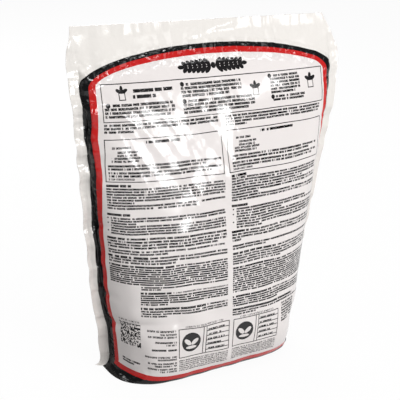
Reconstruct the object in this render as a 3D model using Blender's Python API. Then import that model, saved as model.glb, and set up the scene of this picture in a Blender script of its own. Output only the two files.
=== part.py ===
"""Compost bag: a filled and heat-sealed pillow pack of glossy printed film, standing on its flattened base.

The two sheets of film are drawn flat, with the print's outlines cut into them, and are then wrapped
round the filled form: lens-shaped sections that keep the film's width, lofted from the floor to the flap.
Units are metres, +Z is up, and the printed panel that shows faces -Y.
"""
import math

import bmesh
import bpy
import numpy as np
from mathutils import Vector
from mathutils.geometry import delaunay_2d_cdt

# Film laid flat
FILM_WIDTH = 0.356
FILM_LENGTH = 0.421
FILM_PAIR_THICKNESS = 0.0010
CORNER_SLANT_LENGTH = 0.0400
CORNER_SLANT_LEFT = 0.0110
CORNER_SLANT_RIGHT = 0.0190

# Filled form: half depth of the pack at stations up the film's centre line
FLOOR_HALF_DEPTH = 0.0530
BELLY_HALF_DEPTH = 0.0709
BELLY_STATION = 0.0664
FLAP_HEIGHT = 0.0125
HEEL_POWER = 4.35
TAPER_POWER = 1.34

# Filled form: how square the sections are at the floor, the middle and the top
SQUARENESS_FLOOR = 7.25
SQUARENESS_MIDDLE = 2.8
SQUARENESS_TOP = 2.45
FOOT_STATION = 0.0080
MIDDLE_STATION = 0.1050
TOP_DROP = 0.0840
FLANK_POWER_FLOOR = 1.34
FLANK_POWER_MIDDLE = 2.12
FLANK_POWER_TOP = 2.4
FAR_SQUARENESS_FLOOR = 2.8
FAR_FLANK_POWER_FLOOR = 1.8

# Side fins and bottom ears
FIN_WIDTH = 0.0136
EAR_HEIGHT = 0.0485
EAR_GATHER = 0.0064
EAR_PULL = 0.0090
EAR_LIFT = 0.0034
EAR_SWEEP = 0.0071
HEEL_SKEW = 0.18

# Lean, gathers and dents of the film
FLAP_LEAN = 0.0250
FLAP_LEAN_DROP = 0.0910
GATHER_PITCH = 0.0380
GATHER_HEIGHT = 0.0011
GATHER_REACH = 0.0550
DENT_PITCH = 0.0850
DENT_HEIGHT = 0.0010

# Folds pressed into the film: start and end as shares of its half width and its length, then width and height
FOLDS = [
    (-1.00, 0.799, -0.84, 0.806, 0.0065, 0.0015),
    (-1.00, 0.750, -0.83, 0.744, 0.0065, -0.0013),
    (-1.00, 0.695, -0.84, 0.684, 0.0070, 0.0016),
    (-1.00, 0.603, -0.85, 0.592, 0.0070, 0.0015),
    (-1.00, 0.462, -0.88, 0.470, 0.0070, -0.0012),
    (-1.00, 0.372, -0.87, 0.366, 0.0070, 0.0012),
    (-0.98, 0.262, -0.80, 0.270, 0.0060, -0.0016),
    (-0.96, 0.172, -0.38, 0.209, 0.0080, -0.0020),
    (-0.76, 0.034, -0.56, 0.070, 0.0065, -0.0016),
    (1.00, 0.836, 0.86, 0.826, 0.0065, -0.0016),
    (1.00, 0.730, 0.85, 0.741, 0.0070, 0.0014),
    (1.00, 0.590, 0.86, 0.582, 0.0070, -0.0013),
    (1.00, 0.455, 0.86, 0.463, 0.0070, 0.0013),
    (1.00, 0.300, 0.84, 0.290, 0.0070, -0.0014),
    (0.90, 0.170, 0.50, 0.130, 0.0080, -0.0014),
    (-0.89, 0.884, -0.81, 0.826, 0.0055, 0.0013),
    (-0.90, 0.914, -0.75, 0.872, 0.0055, -0.0012),
    (-0.93, 0.900, -0.95, 1.000, 0.0060, 0.0013),
    (-0.83, 0.900, -0.85, 1.000, 0.0060, -0.0012),
    (-0.74, 0.905, -0.76, 1.000, 0.0065, 0.0012),
    (-0.45, 0.942, 0.17, 0.990, 0.0085, 0.0022),
    (0.42, 0.930, 0.52, 0.965, 0.0070, 0.0016),
    (0.78, 0.890, 0.80, 0.985, 0.0070, 0.0014),
    (0.06, 0.790, 0.07, 0.540, 0.0120, 0.0010),
]
FOLD_STEP = 0.0110

# Print: the border is two nested stripes with an arched head
LIGHT_MARGIN = 0.0112
BLACK_STRIPE = 0.0109
RED_STRIPE = 0.0073
FOOT_BLACK_STRIPE = 0.0150
FOOT_RED_STRIPE = 0.0092
ARCH_TOP_DROP = 0.0242
ARCH_RISE = 0.0390
ARCH_RED_GAP = 0.0049
ARCH_PANEL_GAP = 0.0061

# Print: columns, boxes and blocks of small type as plain fields of tone
TYPE_INSET = 0.0055
COLUMN_GUTTER = 0.0005
GUTTER_HALF = 0.0035
HEAD_BOX_TOP_DROP = 0.0595
HEAD_BOX_BOTTOM_DROP = 0.0991
TABLE_TOP_DROP = 0.1186
TABLE_BOTTOM_DROP = 0.1665
SEAL_BOX_TOP = 0.0772
SEAL_BOX_BOTTOM = 0.0450
SEAL_BOX_LEFT = -0.0657
SEAL_BOX_RIGHT = 0.0710
ORNAMENT_DROP = 0.0475
ORNAMENT_HALF_WIDTH = 0.0400
ORNAMENT_RADIUS = 0.0042
ORNAMENT_COUNT = 5
BULLET_RADIUS = 0.0026
SEAL_RADIUS = 0.0085
RULE = 0.0011
HEADING_HEIGHT = 0.0032

# Long texts from the tables to the foot boxes: top and bottom as shares of the run, heading width, indent
LEFT_TEXTS = [
    (0.015, 0.185, 0.027, 0),
    (0.205, 0.345, 0.026, 0),
    (0.362, 0.480, 0.020, 0),
    (0.489, 0.548, 0.045, 0),
    (0.557, 0.682, 0.075, 0),
    (0.690, 0.820, 0.035, 0.035),
    (0.834, 0.900, 0.077, 0.035),
]
RIGHT_TEXTS = [
    (0.015, 0.190, 0.022, 0),
    (0.208, 0.372, 0.022, 0),
    (0.383, 0.509, 0.023, 0),
    (0.522, 0.610, 0.062, 0),
    (0.623, 0.802, 0.080, 0),
    (0.821, 0.897, 0.056, 0),
    (0.913, 0.959, 0.096, 0),
]

# Facets
CENTRE_STEP = 0.0110
EDGE_STEP = 0.0068
ROW_SHIFT = 0.25
NEAR_SHARE = 0.35
EDGE_ZONE = 0.0500
SECTION_POINTS = 97
SECTION_ROWS = 121
ARCH_POINTS = 33
DISC_POINTS = 14
SLIVER_AREA = 1e-9

HALF_WIDTH = FILM_WIDTH / 2
HALF_FILM = FILM_PAIR_THICKNESS / 2
FLAP_STATION = FILM_LENGTH - FLAP_HEIGHT
TOP_STATION = FILM_LENGTH - TOP_DROP
FLAP_LEAN_STATION = FILM_LENGTH - FLAP_LEAN_DROP
ARCH_SPRING = FILM_LENGTH - ARCH_TOP_DROP - ARCH_RISE
HEAD_BOX_TOP = FILM_LENGTH - HEAD_BOX_TOP_DROP
HEAD_BOX_BOTTOM = FILM_LENGTH - HEAD_BOX_BOTTOM_DROP
TABLE_TOP = FILM_LENGTH - TABLE_TOP_DROP
TABLE_BOTTOM = FILM_LENGTH - TABLE_BOTTOM_DROP
ORNAMENT_STATION = FILM_LENGTH - ORNAMENT_DROP

COLOURS = {
    "film_white": "E9E5E2",
    "print_black": "16161A",
    "print_red": "C22027",
    "print_grey": "A9A6A3",
    "print_rule": "5E5B59",
}
FILM, BLACK, RED, GREY, RULE_TONE = range(5)


def linear(hex_text):
    """Turn a written sRGB colour into linear values."""
    channels = [int(hex_text[i:i + 2], 16) / 255 for i in (0, 2, 4)]
    return [c / 12.92 if c <= 0.04045 else ((c + 0.055) / 1.055) ** 2.4 for c in channels] + [1.0]


def make_material(name, hex_text):
    """Glossy printed polyethylene film."""
    material = bpy.data.materials.new(name)
    material.use_nodes = True
    shader = material.node_tree.nodes["Principled BSDF"]
    shader.inputs["Base Color"].default_value = linear(hex_text)
    shader.inputs["Roughness"].default_value = 0.28
    shader.inputs["IOR"].default_value = 1.5
    material.diffuse_color = linear(hex_text)
    return material


def half_depth(v):
    """Half depth of the filled form at film station v: heel, belly, then a taper to the flap."""
    v = np.asarray(v, float)
    heel = np.clip(1 - v / BELLY_STATION, 0, 1) ** HEEL_POWER
    rise = BELLY_HALF_DEPTH - (BELLY_HALF_DEPTH - FLOOR_HALF_DEPTH) * heel
    run = np.clip((v - BELLY_STATION) / (FLAP_STATION - BELLY_STATION), 0, 1)
    return rise * (1 - run ** TAPER_POWER)


def fade(v, reach):
    """A value of 1 at the floor that dies away over reach."""
    return np.exp(-(np.asarray(v, float) / reach) ** 2)


def build_sections():
    """Lens-shaped sections whose arc length is the film's width between the fins."""
    v = np.linspace(0, FILM_LENGTH, SECTION_ROWS)
    depth = np.maximum(half_depth(v), 1e-5)
    stations = [FOOT_STATION, MIDDLE_STATION, TOP_STATION]
    square = np.interp(v, stations, [SQUARENESS_FLOOR, SQUARENESS_MIDDLE, SQUARENESS_TOP])
    flank = np.interp(v, stations, [FLANK_POWER_FLOOR, FLANK_POWER_MIDDLE, FLANK_POWER_TOP])
    film = HALF_WIDTH - FIN_WIDTH
    arc_wanted = film - EAR_GATHER * fade(v, EAR_HEIGHT)
    angle = np.linspace(math.pi / 2, 0, SECTION_POINTS)[None, :]
    across = np.clip(np.cos(angle), 0, 1) ** (2 / square)[:, None]
    deep = depth[:, None] * np.clip(np.sin(angle), 0, 1) ** (2 / flank)[:, None]
    low = np.zeros(SECTION_ROWS)
    high = arc_wanted.copy()
    for _ in range(40):
        middle = (low + high) / 2
        arc = np.hypot(np.diff(middle[:, None] * across, axis=1), np.diff(deep, axis=1)).sum(1)
        too_long = arc > arc_wanted
        high = np.where(too_long, middle, high)
        low = np.where(too_long, low, middle)
    half = (low + high) / 2
    rise = np.sqrt(np.maximum(np.diff(v) ** 2 - np.diff(depth) ** 2, (0.2 * np.diff(v)) ** 2))
    height = np.concatenate([[0], np.cumsum(rise)])
    # the far sheet meets the same seams but is rounder at its foot, where its slack film gathers
    far_square = np.interp(v, stations[:2], [FAR_SQUARENESS_FLOOR, SQUARENESS_MIDDLE])
    far_flank = np.interp(v, stations[:2], [FAR_FLANK_POWER_FLOOR, FLANK_POWER_MIDDLE])
    far_square = np.where(v > MIDDLE_STATION, square, far_square)
    far_flank = np.where(v > MIDDLE_STATION, flank, far_flank)
    sides = {}
    for side, squareness, flank_power in ((-1, square, flank), (1, far_square, far_flank)):
        x = half[:, None] * np.clip(np.cos(angle), 0, 1) ** (2 / squareness)[:, None]
        y = depth[:, None] * np.clip(np.sin(angle), 0, 1) ** (2 / flank_power)[:, None]
        steps = np.hypot(np.diff(x, axis=1), np.diff(y, axis=1))
        arc = np.concatenate([np.zeros((SECTION_ROWS, 1)), np.cumsum(steps, 1)], 1)
        sides[side] = {"arc": arc * film / arc[:, -1:], "x": x, "y": y}
    return {"v": v, "film": film, "z": height, "sides": sides}


def section_point(sections, side, row, reach):
    """Half width and half depth where the film has run reach metres from the middle of one section."""
    inside = min(reach, sections["film"])
    table = sections["sides"][side]
    x = np.interp(inside, table["arc"][row], table["x"][row]) + reach - inside
    y = np.interp(inside, table["arc"][row], table["y"][row])
    return x, y


def fold_lines():
    """The folds in metres: start, end, width and height."""
    for start_u, start_v, end_u, end_v, width, height in FOLDS:
        start = Vector((start_u * HALF_WIDTH, start_v * FILM_LENGTH))
        end = Vector((end_u * HALF_WIDTH, end_v * FILM_LENGTH))
        yield start, end, width, height


def fold_rise(u, v):
    """How far the folds lift the film at a flat point."""
    rise = 0
    for start, end, width, height in fold_lines():
        run = end - start
        from_start = Vector((u, v)) - start
        along = from_start.dot(run) / run.length_squared
        across = from_start.cross(run) / run.length
        beyond = max(-along, along - 1, 0) * run.length
        share = 1 - 0.5 * min(max(along, 0), 1)
        rise += height * share * math.exp(-(across / width) ** 2 - (beyond / width) ** 2)
    return rise


def wrap(sections, u, v, side):
    """Place the flat film's point (u, v) on the filled form; side is -1 for the panel that shows."""
    place = min(max(v / FILM_LENGTH, 0), 1) * (SECTION_ROWS - 1)
    row = min(int(place), SECTION_ROWS - 2)
    part = place - row
    reach = abs(u)
    x0, y0 = section_point(sections, side, row, reach)
    x1, y1 = section_point(sections, side, row + 1, reach)
    x = x0 * (1 - part) + x1 * part
    y = y0 * (1 - part) + y1 * part
    z = float(np.interp(v, sections["v"], sections["z"]))
    fullness = y / BELLY_HALF_DEPTH
    to_seam = min(max(1 - (HALF_WIDTH - reach) / GATHER_REACH, 0), 1)
    to_corner = min(max((reach / HALF_WIDTH - 0.7) / 0.3, 0), 1) ** 2
    to_flap = min(max((v - FLAP_LEAN_STATION) / (FILM_LENGTH - FLAP_LEAN_STATION), 0), 1) ** 1.4
    at_foot = float(fade(v, EAR_HEIGHT / 1.5))
    above_floor = 1 - at_foot
    # gathers: the seam ruffles and the flank beside it follows
    turn = 2 * math.pi * v / GATHER_PITCH + 1.3 * math.sin(v / GATHER_PITCH * 1.7) + (0 if u < 0 else 2.1)
    ruffle = GATHER_HEIGHT * to_seam ** 2 * above_floor * math.sin(turn)
    x += 0.6 * GATHER_HEIGHT * to_seam * (1 - 0.5 * to_seam) * above_floor * math.sin(turn + 1.1)
    # dents: the compost inside lies in soft lumps
    lump = math.sin(2 * math.pi * u / DENT_PITCH + 0.8 + 2.1 * side)
    lump *= math.sin(2 * math.pi * v / (1.3 * DENT_PITCH) + 1.7 - side)
    lump += 0.5 * math.sin(2 * math.pi * (u + 0.7 * v) / (0.6 * DENT_PITCH) + side)
    y += DENT_HEIGHT * lump * min(1, 1.5 * fullness) * above_floor
    # the foot of the panel is deeper at its left corner, as the pack has slumped
    y *= 1 - HEEL_SKEW * (x if u > 0 else -x) / HALF_WIDTH * at_foot
    # folds: the fins and the flap move as one, the full panel moves alone
    rise = fold_rise(u, v)
    alone = min(1, 4 * fullness)
    if side < 0:
        y += rise * alone
    shared = -rise * (1 - alone)
    # the flap leans back
    lean = to_flap * FLAP_LEAN
    # the bottom corners stand out as small flat ears, drawn in, swept back and just off the floor
    corner = to_corner * float(fade(v, EAR_HEIGHT))
    x -= EAR_PULL * corner
    y_centre = lean + ruffle + shared + EAR_SWEEP * corner
    return Vector((math.copysign(x, u), side * (y + HALF_FILM) + y_centre, z + EAR_LIFT * corner))


def film_outline():
    """Corners of the flat film, anticlockwise from the left foot."""
    slant = FILM_LENGTH - CORNER_SLANT_LENGTH
    return [
        (-HALF_WIDTH, 0),
        (HALF_WIDTH, 0),
        (HALF_WIDTH, slant),
        (HALF_WIDTH - CORNER_SLANT_RIGHT, FILM_LENGTH),
        (-HALF_WIDTH + CORNER_SLANT_LEFT, FILM_LENGTH),
        (-HALF_WIDTH, slant),
    ]


def split_line(start, end, step):
    """Points from start up to, and without, end, spaced evenly by about step."""
    length = math.dist(start, end)
    count = max(1, round(length / step))
    return [tuple(a + (b - a) * i / count for a, b in zip(start, end)) for i in range(count)]


def field_loop(left, bottom, right, top):
    """A rectangle's outline, split where a common grid crosses it, so that neighbouring rules match."""
    step = 1.5 * CENTRE_STEP

    def crossings(start, end):
        first = math.ceil((start + 0.2 * step) / step)
        last = math.floor((end - 0.2 * step) / step)
        return [k * step for k in range(first, last + 1)]

    columns = crossings(left, right)
    rows = crossings(bottom, top)
    loop = [(left, bottom)] + [(u, bottom) for u in columns]
    loop += [(right, bottom)] + [(right, v) for v in rows]
    loop += [(right, top)] + [(u, top) for u in reversed(columns)]
    return loop + [(left, top)] + [(left, v) for v in reversed(rows)]


def split_loop(corners, step):
    """A closed line of evenly spaced points through the corners."""
    points = []
    for start, end in zip(corners, corners[1:] + corners[:1]):
        points += split_line(start, end, step)
    return points


def arch_loop(half, foot, rise):
    """Outline with upright sides, a straight foot and an arched head."""
    head = []
    for i in range(ARCH_POINTS):
        angle = math.pi * i / (ARCH_POINTS - 1)
        head.append((half * math.cos(angle), ARCH_SPRING + rise * math.sin(angle)))
    left_side = split_line(head[-1], (-half, foot), EDGE_STEP)
    base = split_line((-half, foot), (half, foot), CENTRE_STEP)
    right_side = split_line((half, foot), head[0], EDGE_STEP)
    return head[:-1] + left_side + base + right_side


def border_sizes():
    """Half width, foot and rise of the black, red and panel outlines."""
    black = HALF_WIDTH - LIGHT_MARGIN
    red = black - BLACK_STRIPE
    panel = red - RED_STRIPE
    red_rise = ARCH_RISE - ARCH_RED_GAP
    return [
        (black, 0, ARCH_RISE),
        (red, FOOT_BLACK_STRIPE, red_rise),
        (panel, FOOT_BLACK_STRIPE + FOOT_RED_STRIPE, red_rise - ARCH_PANEL_GAP),
    ]


def inside_arch(u, v, size):
    """Whether a flat point lies inside one border outline."""
    half, foot, rise = size
    if abs(u) > half or v < foot:
        return False
    return v <= ARCH_SPRING + rise * math.sqrt(max(0, 1 - (u / half) ** 2))


def type_fields():
    """Blocks of small type, headings and rules as rectangles: left, bottom, right, top, tone."""
    edge = border_sizes()[2][0] - TYPE_INSET
    inner_left = COLUMN_GUTTER - GUTTER_HALF
    inner_right = COLUMN_GUTTER + GUTTER_HALF
    fields = []

    def block(left, bottom, right, top, tone=GREY):
        fields.append((left, bottom, right, top, tone))

    def ruled_box(left, bottom, right, top):
        block(left, top - RULE, right, top, RULE_TONE)
        block(left, bottom, right, bottom + RULE, RULE_TONE)
        block(left, bottom + RULE, left + RULE, top - RULE, RULE_TONE)
        block(right - RULE, bottom + RULE, right, top - RULE, RULE_TONE)

    ruled_box(-edge, HEAD_BOX_BOTTOM, edge, HEAD_BOX_TOP)
    ruled_box(-edge, TABLE_BOTTOM, inner_left, TABLE_TOP)
    ruled_box(inner_right, TABLE_BOTTOM, edge, TABLE_TOP)
    ruled_box(SEAL_BOX_LEFT, SEAL_BOX_BOTTOM, inner_left, SEAL_BOX_TOP)
    ruled_box(inner_right, SEAL_BOX_BOTTOM, SEAL_BOX_RIGHT, SEAL_BOX_TOP)
    # head box: two heading rows, then numbered notes in three columns
    third = 2 * edge / 3
    block(-edge + 0.034, HEAD_BOX_TOP - 0.0125, -edge + 0.078, HEAD_BOX_TOP - 0.0085, BLACK)
    block(-edge + 0.034, HEAD_BOX_TOP - 0.0190, -edge + 0.070, HEAD_BOX_TOP - 0.0150, BLACK)
    block(-edge + 0.012, HEAD_BOX_BOTTOM + 0.004, -edge + third - 0.010, HEAD_BOX_BOTTOM + 0.0155)
    block(-edge + third + 0.012, HEAD_BOX_TOP - 0.018, -edge + 2 * third - 0.024, HEAD_BOX_TOP - 0.0055)
    block(-edge + third + 0.012, HEAD_BOX_BOTTOM + 0.004, -edge + 2 * third - 0.004, HEAD_BOX_BOTTOM + 0.0155)
    block(-edge + 2 * third + 0.010, HEAD_BOX_TOP - 0.015, edge - 0.030, HEAD_BOX_TOP - 0.0045)
    block(-edge + 2 * third + 0.010, HEAD_BOX_BOTTOM + 0.004, edge - 0.006, HEAD_BOX_BOTTOM + 0.0165)
    # notes between the head box and the tables
    block(-edge, TABLE_TOP + 0.0060, inner_left - 0.012, HEAD_BOX_BOTTOM - 0.0035)
    block(inner_right, TABLE_TOP + 0.0040, edge, HEAD_BOX_BOTTOM - 0.0035)
    # tables: a heading and rows
    for left, right in ((-edge, inner_left), (inner_right, edge)):
        centre = (left + right) / 2
        block(centre - 0.028, TABLE_TOP - 0.0080, centre + 0.028, TABLE_TOP - 0.0040, BLACK)
        block(left + 0.014, TABLE_TOP - 0.0290, centre - 0.012, TABLE_TOP - 0.0120)
        block(left + 0.005, TABLE_BOTTOM + 0.0035, right - 0.012, TABLE_BOTTOM + 0.0155)
    # long texts of both columns, from the tables down to the boxes at the foot
    run = TABLE_BOTTOM - SEAL_BOX_TOP
    for texts, left, right in ((LEFT_TEXTS, -edge, inner_left), (RIGHT_TEXTS, inner_right, edge - 0.003)):
        for top_share, bottom_share, heading_width, indent in texts:
            top = TABLE_BOTTOM - top_share * run
            bottom = TABLE_BOTTOM - bottom_share * run
            block(left + indent, top - HEADING_HEIGHT, left + indent + heading_width, top, BLACK)
            block(left + indent, bottom, right, top - HEADING_HEIGHT - RULE)
    # a narrow column beside the right box
    block(SEAL_BOX_RIGHT + 0.006, SEAL_BOX_BOTTOM + 0.015, SEAL_BOX_RIGHT + 0.033, SEAL_BOX_TOP + 0.006)
    # address rows beside the boxes, and rows under them
    block(SEAL_BOX_LEFT - 0.042, SEAL_BOX_BOTTOM + 0.004, SEAL_BOX_LEFT - 0.004, SEAL_BOX_TOP - 0.010)
    foot = border_sizes()[2][1]
    block(SEAL_BOX_LEFT, foot + 0.0060, inner_left, SEAL_BOX_BOTTOM - 0.0035)
    block(inner_right, foot + 0.0060, SEAL_BOX_RIGHT, SEAL_BOX_BOTTOM - 0.0035)
    return [f for f in fields if f[2] - f[0] > RULE / 2 and f[3] - f[1] > RULE / 2]


def type_discs():
    """Round marks: ornament row, numbered bullets and the two seals in the foot boxes."""
    edge = border_sizes()[2][0] - TYPE_INSET
    third = 2 * edge / 3
    discs = []
    for i in range(ORNAMENT_COUNT):
        place = 2 * i / (ORNAMENT_COUNT - 1) - 1
        discs.append((place * ORNAMENT_HALF_WIDTH, ORNAMENT_STATION, ORNAMENT_RADIUS, BLACK))
    upper = HEAD_BOX_TOP - 0.0090
    lower = HEAD_BOX_BOTTOM + 0.0140
    for u, v in ((-edge + 0.007, lower), (-edge + third + 0.007, upper), (-edge + third + 0.007, lower),
                 (-edge + 2 * third + 0.005, upper), (-edge + 2 * third + 0.005, lower)):
        discs.append((u, v, BULLET_RADIUS, BLACK))
    middle = (SEAL_BOX_TOP + SEAL_BOX_BOTTOM) / 2
    discs.append((SEAL_BOX_LEFT + 0.014, middle, SEAL_RADIUS, RULE_TONE))
    discs.append((COLUMN_GUTTER + GUTTER_HALF + 0.014, middle, SEAL_RADIUS, RULE_TONE))
    return discs


def disc_loop(u, v, radius):
    """A many-sided outline of a round mark."""
    turns = [2 * math.pi * i / DISC_POINTS for i in range(DISC_POINTS)]
    return [(u + radius * math.cos(t), v + radius * math.sin(t)) for t in turns]


def field_at(u, v, printed, fields, discs):
    """Which tone of the print covers a flat point."""
    black, red, panel = border_sizes()
    if inside_arch(u, v, panel):
        if printed:
            for centre_u, centre_v, radius, tone in discs:
                if math.hypot(u - centre_u, v - centre_v) < radius:
                    return tone
            for left, bottom, right, top, tone in fields:
                if left < u < right and bottom < v < top:
                    return tone
        return FILM
    if inside_arch(u, v, red):
        return RED
    return BLACK if inside_arch(u, v, black) else FILM


def fold_points():
    """Points along the crest and both feet of every fold, inside the film's edge."""
    points = []
    for start, end, width, _ in fold_lines():
        run = end - start
        side = Vector((-run.y, run.x)).normalized() * 1.5 * width
        count = max(2, round(run.length / FOLD_STEP))
        for i in range(count + 1):
            for offset in (-1, 0, 1):
                u, v = start + run * i / count + side * offset
                slant = max(0, 1 - (FILM_LENGTH - v) / CORNER_SLANT_LENGTH)
                reach = HALF_WIDTH - slant * max(CORNER_SLANT_LEFT, CORNER_SLANT_RIGHT)
                if abs(u) < reach - EDGE_STEP / 2 and EDGE_STEP / 2 < v < FILM_LENGTH - EDGE_STEP / 2:
                    points.append((u, v))
    return points


def spread_points():
    """Points that carry the film's curvature, closer together beside the seams."""
    points = fold_points()
    fold_count = len(points)
    edge_columns = int(EDGE_ZONE / EDGE_STEP)
    inner = HALF_WIDTH - edge_columns * EDGE_STEP
    centre_columns = max(2, round(2 * inner / CENTRE_STEP))
    columns = [-inner + 2 * inner * i / centre_columns for i in range(centre_columns + 1)]
    rows = round(FILM_LENGTH / CENTRE_STEP)
    for i, u in enumerate(columns):
        for j in range(1, rows):
            shift = ROW_SHIFT if i % 2 else -ROW_SHIFT
            points.append((u, FILM_LENGTH * (j + shift) / rows))
    edge_rows = round(FILM_LENGTH / EDGE_STEP)
    for i in range(1, edge_columns):
        for j in range(1, edge_rows):
            shift = ROW_SHIFT if i % 2 else -ROW_SHIFT
            v = FILM_LENGTH * (j + shift) / edge_rows
            slant = max(0, 1 - (FILM_LENGTH - v) / CORNER_SLANT_LENGTH)
            points.append((-HALF_WIDTH + i * EDGE_STEP + slant * CORNER_SLANT_LEFT, v))
            points.append((HALF_WIDTH - i * EDGE_STEP - slant * CORNER_SLANT_RIGHT, v))
    if not fold_count:
        return points
    taken = np.array(points[:fold_count])
    clear = [p for p in points[fold_count:] if np.hypot(*(taken - p).T).min() > 0.45 * EDGE_STEP]
    return points[:fold_count] + clear


def flat_area(a, b, c):
    """Area of a flat triangle."""
    return abs((b[0] - a[0]) * (c[1] - a[1]) - (c[0] - a[0]) * (b[1] - a[1])) / 2


def flat_sheet(boundary, printed):
    """Triangulate one flat sheet, with the outlines of its print as edges."""
    points = [Vector(p) for p in boundary]
    count = len(boundary)
    edges = [(i, (i + 1) % count) for i in range(count)]
    loops = [arch_loop(*size) for size in border_sizes()[1:]]
    black = border_sizes()[0]
    loops.append(arch_loop(black[0], EDGE_STEP / 2, black[2]))
    if printed:
        fields = type_fields()
        discs = type_discs()
        for left, bottom, right, top, _ in fields:
            loops.append(field_loop(left, bottom, right, top))
        loops += [disc_loop(u, v, radius) for u, v, radius, _ in discs]
    else:
        fields = []
        discs = []
    for loop in loops:
        first = len(points)
        points += [Vector(p) for p in loop]
        edges += [(first + i, first + (i + 1) % len(loop)) for i in range(len(loop))]
    starts = np.array([points[i] for i, _ in edges])
    runs = np.array([points[j] for _, j in edges]) - starts
    squares = (runs ** 2).sum(1)
    for point in spread_points():
        from_start = np.array(point) - starts
        along = np.clip((from_start * runs).sum(1) / squares, 0, 1)
        near = np.hypot(*(from_start - along[:, None] * runs).T).min()
        if near > NEAR_SHARE * EDGE_STEP:
            points.append(Vector(point))
    verts, _, faces, origins, _, _ = delaunay_2d_cdt(points, edges, [], 0, 1e-7)
    faces = [face for face in faces if flat_area(*(verts[i] for i in face)) > SLIVER_AREA]
    rim = {}
    for index, inputs in enumerate(origins):
        for source in inputs:
            if source < count:
                rim[source] = index
    tones = []
    for face in faces:
        u = sum(verts[i][0] for i in face) / len(face)
        v = sum(verts[i][1] for i in face) / len(face)
        tones.append(field_at(u, v, printed, fields, discs))
    return verts, faces, tones, [rim[i] for i in range(count)]


def make_bag():
    """Wrap both sheets round the form, close the seams and the base, and colour the fields."""
    sections = build_sections()
    boundary = split_loop(film_outline(), EDGE_STEP)
    count = len(boundary)
    foot_count = max(1, round(FILM_WIDTH / EDGE_STEP))
    mesh = bmesh.new()
    rims = []
    for side, printed in ((-1, True), (1, False)):
        verts, faces, tones, rim = flat_sheet(boundary, printed)
        placed = [mesh.verts.new(wrap(sections, p[0], p[1], side)) for p in verts]
        for face, tone in zip(faces, tones):
            made = mesh.faces.new([placed[i] for i in face])
            made.material_index = tone
            made.smooth = True
        rims.append([placed[i] for i in rim])
    back, front = rims
    for i in range(count):
        j = (i + 1) % count
        wall = mesh.faces.new([back[j], back[i], front[i], front[j]])
        wall.smooth = False
        wall.material_index = FILM
        if i < foot_count:
            wall.material_index = BLACK if abs(boundary[i][0]) < HALF_WIDTH - LIGHT_MARGIN else FILM
    mesh.normal_update()
    bmesh.ops.triangulate(mesh, faces=[f for f in mesh.faces if len(f.verts) > 3])
    bmesh.ops.recalc_face_normals(mesh, faces=mesh.faces[:])
    # stand the pack on the floor, with the middle of its box at the origin
    low = [min(v.co[i] for v in mesh.verts) for i in range(3)]
    high = [max(v.co[i] for v in mesh.verts) for i in range(3)]
    shift = Vector(((low[0] + high[0]) / 2, (low[1] + high[1]) / 2, low[2]))
    bmesh.ops.translate(mesh, verts=mesh.verts[:], vec=-shift)
    data = bpy.data.meshes.new("bag")
    mesh.to_mesh(data)
    mesh.free()
    return data


def main():
    """Clear the scene and build the one solid."""
    for old in list(bpy.data.objects):
        bpy.data.objects.remove(old, do_unlink=True)
    data = make_bag()
    for name, hex_text in COLOURS.items():
        data.materials.append(make_material(name, hex_text))
    bag = bpy.data.objects.new("bag", data)
    bpy.context.scene.collection.objects.link(bag)


main()
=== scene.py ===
"""Looks of the compost bag: a sealed pillow pack of glossy printed polyethylene film, filled with compost.

The film is made flat, as two sheets with their own film coordinates (u across, v up, in metres), and is
then laid on the filled form and gathered, creased and dented. The print is drawn on the film coordinates.
"""

import math
import random

import bmesh
import bpy
import numpy as np
from mathutils import Matrix, Vector


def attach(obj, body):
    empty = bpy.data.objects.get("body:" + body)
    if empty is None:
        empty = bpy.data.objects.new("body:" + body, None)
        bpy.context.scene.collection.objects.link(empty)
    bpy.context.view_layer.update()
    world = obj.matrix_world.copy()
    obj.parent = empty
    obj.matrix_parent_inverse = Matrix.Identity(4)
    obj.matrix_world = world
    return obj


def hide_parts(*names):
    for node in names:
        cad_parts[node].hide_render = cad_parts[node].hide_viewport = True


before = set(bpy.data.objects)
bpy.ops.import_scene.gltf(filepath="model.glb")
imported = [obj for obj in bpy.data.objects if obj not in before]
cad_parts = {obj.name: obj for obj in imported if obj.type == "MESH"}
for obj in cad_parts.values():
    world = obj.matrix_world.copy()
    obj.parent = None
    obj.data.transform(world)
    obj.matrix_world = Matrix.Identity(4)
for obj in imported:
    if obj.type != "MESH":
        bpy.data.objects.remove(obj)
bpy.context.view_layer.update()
bpy.ops.object.select_all(action="DESELECT")

# Film laid flat
FILM_WIDTH = 0.356
FILM_LENGTH = 0.421
FILM_PAIR = 0.0006
CORNER_SLANT_LENGTH = 0.0400
CORNER_SLANT_LEFT = 0.0110
CORNER_SLANT_RIGHT = 0.0190
HALF_WIDTH = FILM_WIDTH / 2
MM = 0.001

# Filled form, as in the part's source
FLOOR_HALF_DEPTH = 0.0530
BELLY_HALF_DEPTH = 0.0709
BELLY_STATION = 0.0664
FLAP_STATION = 0.4085
HEEL_POWER = 4.35
TAPER_POWER = 1.34
FOOT_STATION = 0.0080
MIDDLE_STATION = 0.1050
TOP_STATION = 0.3370
SQUARENESS = (7.25, 2.8, 2.45)
FLANK_POWER = (1.34, 2.12, 2.4)
FAR_SQUARENESS_FLOOR = 2.8
FAR_FLANK_POWER_FLOOR = 1.8
FIN_WIDTH = 0.0136
EAR_START = 0.7
EAR_HEIGHT = 0.0485
EAR_GATHER = 0.0064
EAR_PULL = 0.0090
EAR_LIFT = 0.0034
EAR_SWEEP = 0.0071
HEEL_SKEW = 0.18
HEEL_SKEW_HEIGHT = EAR_HEIGHT / 1.5
FLAP_LEAN = 0.0250
FLAP_LEAN_STATION = 0.3300
FLAP_LEAN_POWER = 1.4
GATHER_PITCH = 0.0380
GATHER_HEIGHT = 0.0011
GATHER_REACH = 0.0550
DENT_PITCH = 0.0850
DENT_HEIGHT = 0.0010
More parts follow.
